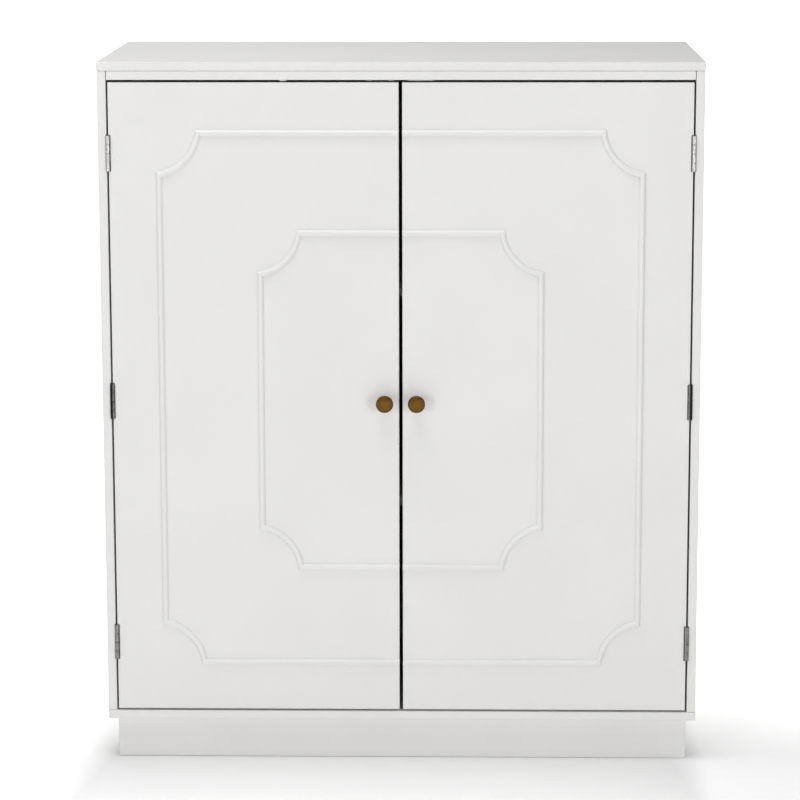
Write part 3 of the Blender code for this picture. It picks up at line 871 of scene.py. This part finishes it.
def cross_recess(radius, top, bottom):
    """The two crossed wedges of a driver recess, which narrow towards the bottom."""
    for turn in (0, math.pi / 2):
        half_width = radius * SCREW_RECESS_WIDTH
        bm = plain_box((-radius, -half_width, bottom), (radius, half_width, top))
        for vertex in bm.verts:
            if vertex.co.z < (top + bottom) / 2:
                vertex.co.x *= 0.45
                vertex.co.y *= 0.6
        bmesh.ops.rotate(bm, verts=bm.verts, cent=(0, 0, 0), matrix=Matrix.Rotation(turn, 3, "Z"))
        yield bm


def screw_mesh(radius, dome, sunk, length):
    """A cross-head screw along Z: dome above 0, sunk cone below it, then the shank."""
    shank = radius * SCREW_SHANK
    profile = [(0, dome)]
    for step in (1, 2, 3):
        angle = math.pi / 2 * step / 4
        profile.append((radius * math.sin(angle), dome * math.cos(angle)))
    profile += [(radius, 0.0), (radius, -SCREW_EDGE)]
    profile += [(shank, -sunk), (shank, -length), (0, -length)]
    piece = as_object(turned(profile, SCREW_SEGMENTS), "screw")
    depth = min(sunk * 0.8, radius * SCREW_RECESS_DEPTH)
    combine(piece, cross_recess(radius * SCREW_RECESS, dome + 0.001, -depth))
    return take_mesh(piece)


def make_screws(name, mesh, matrices, body):
    piece = as_object(stamp(mesh, matrices), name)
    soften(piece, METAL_BEND)
    add_detail(piece, body, FINISHES["screw_steel"])


# ---------------------------------------------------------------- hinges


def knuckle(radius, low, high):
    """One knuckle of a barrel, with chamfered ends."""
    inset = radius - KNUCKLE_CHAMFER
    profile = [(0, high), (inset, high), (radius, high - KNUCKLE_CHAMFER)]
    profile += [(radius, low + KNUCKLE_CHAMFER), (inset, low), (0, low)]
    return turned(profile, 40)


def hinge_screw_spots(plate_side, radius, half):
    """Places of the three staggered screws on a leaf, about the hinge's middle."""
    face = plate_side * (radius - LEAF_THICKNESS)
    for step in (-1, 0, 1):
        depth = HINGE_SCREW_ROW + HINGE_SCREW_STAGGER * (-1 if step == 0 else 1)
        yield Vector((face, depth, step * half * HINGE_SCREW_SPAN))


def countersink():
    """Cutter for the head of a hinge screw, which starts just over the leaf's face."""
    mouth = HINGE_SCREW_RADIUS + COUNTERSINK_ROOM
    profile = [(0, COUNTERSINK_ROOM), (mouth + 0.0001, COUNTERSINK_ROOM), (mouth, 0)]
    profile += [(0.0016, -COUNTERSINK_DEPTH), (0, -COUNTERSINK_DEPTH)]
    return turned(profile, SCREW_SEGMENTS)


def leaf_plate(plate_side, reach, radius, half):
    """The flat part of a leaf, with its two far corners rounded."""
    faces = sorted((plate_side * radius, plate_side * (radius - LEAF_THICKNESS)))
    plate = plain_box((faces[0], 0, -half), (faces[1], reach, half))
    corners = [
        edge
        for edge in plate.edges
        if all(abs(v.co.y - reach) < 1e-6 for v in edge.verts)
        and abs(edge.verts[0].co.z - edge.verts[1].co.z) < 1e-6
    ]
    bmesh.ops.bevel(plate, geom=corners, offset=LEAF_CORNER, segments=6, profile=0.5, affect="EDGES")
    return plate


def leaf_mesh(plate_side, own_first, reach, radius, half):
    """A hinge leaf about its pin: a plate behind the barrel and every second knuckle."""
    piece = as_object(leaf_plate(plate_side, reach, radius, half), "leaf")
    pitch = 2 * half / KNUCKLES
    inset = KNUCKLE_GAP / 2
    own = []
    others = []
    for index in range(KNUCKLES):
        low = -half + index * pitch
        if index % 2 == own_first:
            own.append(knuckle(radius, low + inset, low + pitch - inset))
        else:
            room = radius + KNUCKLE_GAP
            others.append(rod(room, (0, 0, low - inset), (0, 0, low + pitch + inset)))
    combine(piece, others)
    combine(piece, own, "UNION")
    holes = [rod(BORE_RADIUS, (0, 0, -2 * half), (0, 0, 2 * half))]
    for spot in hinge_screw_spots(plate_side, radius, half):
        hole = countersink()
        bmesh.ops.transform(hole, matrix=facing((-plate_side, 0, 0), spot), verts=hole.verts)
        holes.append(hole)
    combine(piece, holes)
    return take_mesh(piece)


def barrel_rub(radius):
    """Closeness to the door's side of the barrel, which is painted brighter as a highlight."""

    def closeness(place):
        return min(1.0, max(0.0, place.x / radius - 0.1) * 2)

    return closeness


def pin_mesh(radius, half):
    """A plain pin whose ends are slightly domed."""
    dome = PIN_CHAMFER / 5
    profile = [(0, half), (radius * 0.6, half - dome), (radius, half - PIN_CHAMFER)]
    profile += [(radius, PIN_CHAMFER - half), (radius * 0.6, dome - half), (0, -half)]
    return as_mesh(turned(profile, 32), "pin")


def make_hinges():
    """The right hinges are the left ones turned half a turn about Y."""
    reach, radius = leaf_reach()
    low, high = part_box("left_lower_hinge_frame_leaf")
    half = (high.z - low.z) / 2
    meshes = {
        "frame_leaf": leaf_mesh(-1, 0, reach, radius, half),
        "door_leaf": leaf_mesh(1, 1, reach, radius, half),
    }
    pin_low, pin_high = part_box("left_lower_hinge_pin")
    meshes["pin"] = pin_mesh((pin_high.x - pin_low.x) / 2, (pin_high.z - pin_low.z) / 2)
    # The door side of each barrel is marked for a painted highlight.
    for mesh in meshes.values():
        mark_rub(mesh, barrel_rub(radius))
    screw = screw_mesh(HINGE_SCREW_RADIUS, 0.0004, 0.0009, 0.0025)
    for side_name, side in SIDES.items():
        turn = Matrix.Rotation(0 if side < 0 else math.pi, 4, "Y")
        places = [Matrix.Translation(middle) @ turn for middle, _ in hinge_pins(side_name)]
        for level, place in zip(LEVELS, places):
            for part, mesh in meshes.items():
                node = f"{side_name}_{level}_hinge_{part}"
                piece = as_object(stamp(mesh, [place]), f"{node}_fine")
                soften(piece, METAL_BEND)
                install(piece, node, FINISHES["hinge_steel", level])
        for part, plate_side in (("frame_leaf", -1), ("door_leaf", 1)):
            spots = [
                place @ facing((-plate_side, 0, 0), spot)
                for place in places
                for spot in hinge_screw_spots(plate_side, radius, half)
            ]
            body = BODY_OF[f"{side_name}_lower_hinge_{part}"]
            make_screws(f"{side_name}_{part}_screws", screw, spots, body)


# ---------------------------------------------------------------- knobs


def knob_head(flat, projection):
    """The slightly crowned face and the rounded rim, from the axis to the head's underside."""
    rim = KNOB_HEAD_THICKNESS / 2
    yield 0, projection
    yield flat / 2, projection - KNOB_CROWN / 5
    yield flat, projection - KNOB_CROWN
    for step in range(1, KNOB_RIM_STEPS):
        angle = math.pi / 2 - math.pi * step / KNOB_RIM_STEPS
        out = max(0.0, math.cos(angle)) ** KNOB_RIM_FULLNESS
        height = projection - rim + (rim - KNOB_CROWN) * math.sin(angle)
        yield flat + KNOB_RIM_INSET * out, height


def knob_neck(flat, projection):
    """The hollow curves from the head's underside to the neck, and from the neck to the foot."""
    under = projection - KNOB_HEAD_THICKNESS + 0.0001
    flare = flat - 0.0008 - KNOB_NECK
    for step in range(KNOB_NECK_STEPS + 1):
        angle = math.pi / 2 * step / KNOB_NECK_STEPS
        yield KNOB_NECK + flare * (1 - math.sin(angle)), under - 0.0032 * math.sin(angle)
    for step in range(1, KNOB_NECK_STEPS + 1):
        angle = math.pi / 2 * step / KNOB_NECK_STEPS
        spread = (KNOB_FOOT - KNOB_NECK) * (1 - math.cos(angle))
        yield KNOB_NECK + spread, 0.0062 - 0.0038 * math.sin(angle)


def knob_profile(radius, projection):
    """From the middle of the face, round the rim, down the neck, and into the blind bore."""
    flat = radius - KNOB_RIM_INSET
    profile = [*knob_head(flat, projection), *knob_neck(flat, projection)]
    profile += [(KNOB_FOOT, 0.0020), (KNOB_FOOT, 0.0006), (KNOB_FOOT - 0.0003, 0.0)]
    profile += [(KNOB_BORE_RADIUS, 0.0), (KNOB_BORE_RADIUS, KNOB_BORE_DEPTH), (0, KNOB_BORE_DEPTH)]
    return profile


def rim_rub(middle, radius):
    """Closeness to the rim of a knob, which is painted darker as shade: 1 on its outline, 0 from
    RIM_WIDTH inside it.
    """

    def closeness(place):
        from_axis = math.hypot(place.x - middle.x, place.z - middle.z)
        return max(0.0, 1 - (radius - from_axis) / RIM_WIDTH)

    return closeness


def make_knobs():
    for side_name in SIDES:
        node = f"{side_name}_knob"
        low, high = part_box(node)
        middle = (low + high) / 2
        radius = (high.x - low.x) / 2
        bm = turned(knob_profile(radius, high.y - low.y), KNOB_SEGMENTS)
        seat = facing(-Y_AXIS, (middle.x, high.y, middle.z))
        bmesh.ops.transform(bm, matrix=seat, verts=bm.verts)
        piece = as_object(bm, f"{node}_fine")
        # The rim is marked for painted shade.
        mark_rub(piece.data, rim_rub(middle, radius))
        soften(piece, KNOB_BEND)
        install(piece, node, FINISHES["antique_brass"])


def make_knob_screws():
    """Pan-head screws that hold the knobs from inside the doors."""
    for side_name in SIDES:
        node = f"{side_name}_knob_screw"
        low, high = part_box(node)
        middle = (low + high) / 2
        radius = (high.x - low.x) / 2
        mesh = screw_mesh(radius, KNOB_SCREW_HEAD, 0.0003, high.y - low.y - KNOB_SCREW_HEAD)
        seat = Vector((middle.x, high.y - KNOB_SCREW_HEAD, middle.z))
        piece = as_object(stamp(mesh, [facing(Y_AXIS, seat)]), f"{node}_fine")
        soften(piece, METAL_BEND)
        install(piece, node, FINISHES["screw_steel"])


# ---------------------------------------------------------------- catches, pegs and pad


def add_steel_box(name, low, high, radius, steps=ARRIS_STEPS):
    """A rounded steel box that belongs to the carcass."""
    piece = as_object(rounded_box(low, high, radius, steps), name)
    soften(piece)
    add_detail(piece, "carcass", FINISHES["screw_steel"])


def make_catches():
    """A magnet housing in plastic with two steel poles, under a plate with an ear at each end."""
    screw = screw_mesh(0.0019, 0.0007, 0.0008, 0.0015)
    half = CATCH_BODY_LENGTH / 2
    for side_name in SIDES:
        node = f"{side_name}_magnetic_catch"
        low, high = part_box(node)
        middle = (low + high) / 2
        front = low.y + 0.0004  # the poles stand this far out of the housing
        top = high.z - CATCH_PLATE_THICKNESS
        seat = top + 0.0001
        housing = rounded_box((middle.x - half, front, low.z), (middle.x + half, high.y, top), 0.0008)
        housing = as_object(housing, f"{node}_fine")
        soften(housing)
        install(housing, node, FINISHES["catch_plastic"])
        add_steel_box(f"{side_name}_catch_plate", (low.x, front, seat), high, 0.0005)
        make_catch_lips(side_name, low, high)
        make_catch_poles(side_name, middle.x, low.y, top)
        reach = half + CATCH_SCREW_FROM_BODY
        spots = [facing(-Z_AXIS, (middle.x + end * reach, middle.y, seat)) for end in (-1, 1)]
        make_screws(f"{side_name}_catch_screws", screw, spots, "carcass")


def make_catch_poles(side_name, middle, front, top):
    """The two steel bars in a housing's front, which touch the strike plate."""
    half = CATCH_BODY_LENGTH / 2 - 0.002
    for name, drop in CATCH_POLES.items():
        low = (middle - half, front, top - drop - POLE_THICKNESS)
        high = (middle + half, front + POLE_DEPTH, top - drop)
        add_steel_box(f"{side_name}_catch_{name}_pole", low, high, 0.0002)


def make_catch_lips(side_name, low, high):
    """Thin front tongues of a catch's plate, seen in the gap over the door."""
    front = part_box(f"{side_name}_door_panel")[0].y + LIP_FROM_FRONT
    spans = [(low.x, high.x)]
    if side_name == "left":
        spans = [(low.x, low.x + LIP_WIDTH), (high.x - LIP_WIDTH, high.x)]
    for number, (start, end) in enumerate(spans, 1):
        bottom = (start, front, high.z - LIP_THICKNESS)
        top = (end, low.y + 0.001, high.z)
        add_steel_box(f"{side_name}_catch_lip_{number}", bottom, top, 0.0001, 1)


def make_strike_plates():
    """The steel plates on the doors' backs, each with a screw near either end."""
    screw = screw_mesh(0.0017, 0.00015, 0.0006, 0.0012)
    for side_name in SIDES:
        node = f"{side_name}_strike_plate"
        low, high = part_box(node)
        middle = (low + high) / 2
        bm = rounded_box(low, high, 0.00025, 2, 0.002)
        piece = as_object(bm, f"{node}_fine")
        mark_rub(piece.data, box_rub(low, high))
        soften(piece)
        install(piece, node, FINISHES["screw_steel"])
        ends = (middle.x - STRIKE_SCREW_SPREAD, middle.x + STRIKE_SCREW_SPREAD)
        spots = [facing(Y_AXIS, (end, high.y, middle.z)) for end in ends]
        make_screws(f"{side_name}_strike_screws", screw, spots, BODY_OF[node])


def peg_profile(shoulder, tail):
    """The thick end up to its shoulder, and below 0 the thin tail."""
    thick = PEG_SHELF_RADIUS
    thin = PEG_TAIL_RADIUS
    profile = [(0, shoulder), (thin, shoulder), (thick - PEG_CHAMFER, shoulder - 0.0007)]
    profile += [(thick, shoulder - 0.0011), (thick, PEG_CHAMFER), (thick - PEG_CHAMFER, 0)]
    profile += [(thin, 0), (thin, 0.0004 - tail), (thin - 0.0004, -tail), (0, -tail)]
    return profile


def make_shelf_pegs():
    """Shouldered pegs: the thin end is in the side panel, the shelf rests on the thick end."""
    for side_name, side in SIDES.items():
        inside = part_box(f"{side_name}_side_panel")[0 if side > 0 else 1].x
        for level in ("lower", "upper"):
            for depth in ("front", "back"):
                node = f"shelf_peg_{level}_{depth}_{side_name}"
                low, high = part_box(node)
                middle = (low + high) / 2
                seat = inside - side * 0.0003
                shoulder = abs((low.x if side > 0 else high.x) - seat)
                tail = (high.x - low.x) - shoulder
                bm = turned(peg_profile(shoulder, tail), 32)
                place = facing((-side, 0, 0), (seat, middle.y, middle.z))
                bmesh.ops.transform(bm, matrix=place, verts=bm.verts)
                piece = as_object(bm, f"{node}_fine")
                soften(piece, PEG_BEND)
                install(piece, node, FINISHES["screw_steel"])


def make_bumper_pad():
    """A felt disc with a slightly ragged rim and a fuzzy face."""
    low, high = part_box("bumper_pad")
    middle = (low + high) / 2
    radius = (high.x - low.x) / 2
    height = high.z - low.z
    profile = [(0, 0)] + [(radius * step / 8, 0) for step in range(1, 8)]
    profile += [(radius - 0.0002, 0.0001), (radius, 0.0005), (radius, height), (0, height)]
    bm = turned(profile, 64)
    for vertex in bm.verts:
        fuzz = noise.noise(vertex.co * 2500)
        if vertex.co.z < height - 0.0001:
            vertex.co.z += 0.00012 * (1 + fuzz)
        vertex.co.x *= 0.985 + 0.015 * fuzz
        vertex.co.y *= 0.985 + 0.015 * fuzz
    bmesh.ops.translate(bm, vec=(middle.x, middle.y, low.z), verts=bm.verts)
    piece = as_object(bm, "bumper_pad_fine")
    soften(piece)
    install(piece, "bumper_pad", FINISHES["felt"])


# ---------------------------------------------------------------- assembly


make_camera()
make_studio()
make_floor()
FINISHES = make_finishes()
make_plain_boards()
make_side_panels()
make_door_panels()
make_back()
for side_name, side in SIDES.items():
    for moulding in ("outer", "inner"):
        make_bead(f"{side_name}_{moulding}_moulding", side)
make_hinges()
make_knobs()
make_knob_screws()
make_catches()
make_strike_plates()
make_shelf_pegs()
make_bumper_pad()
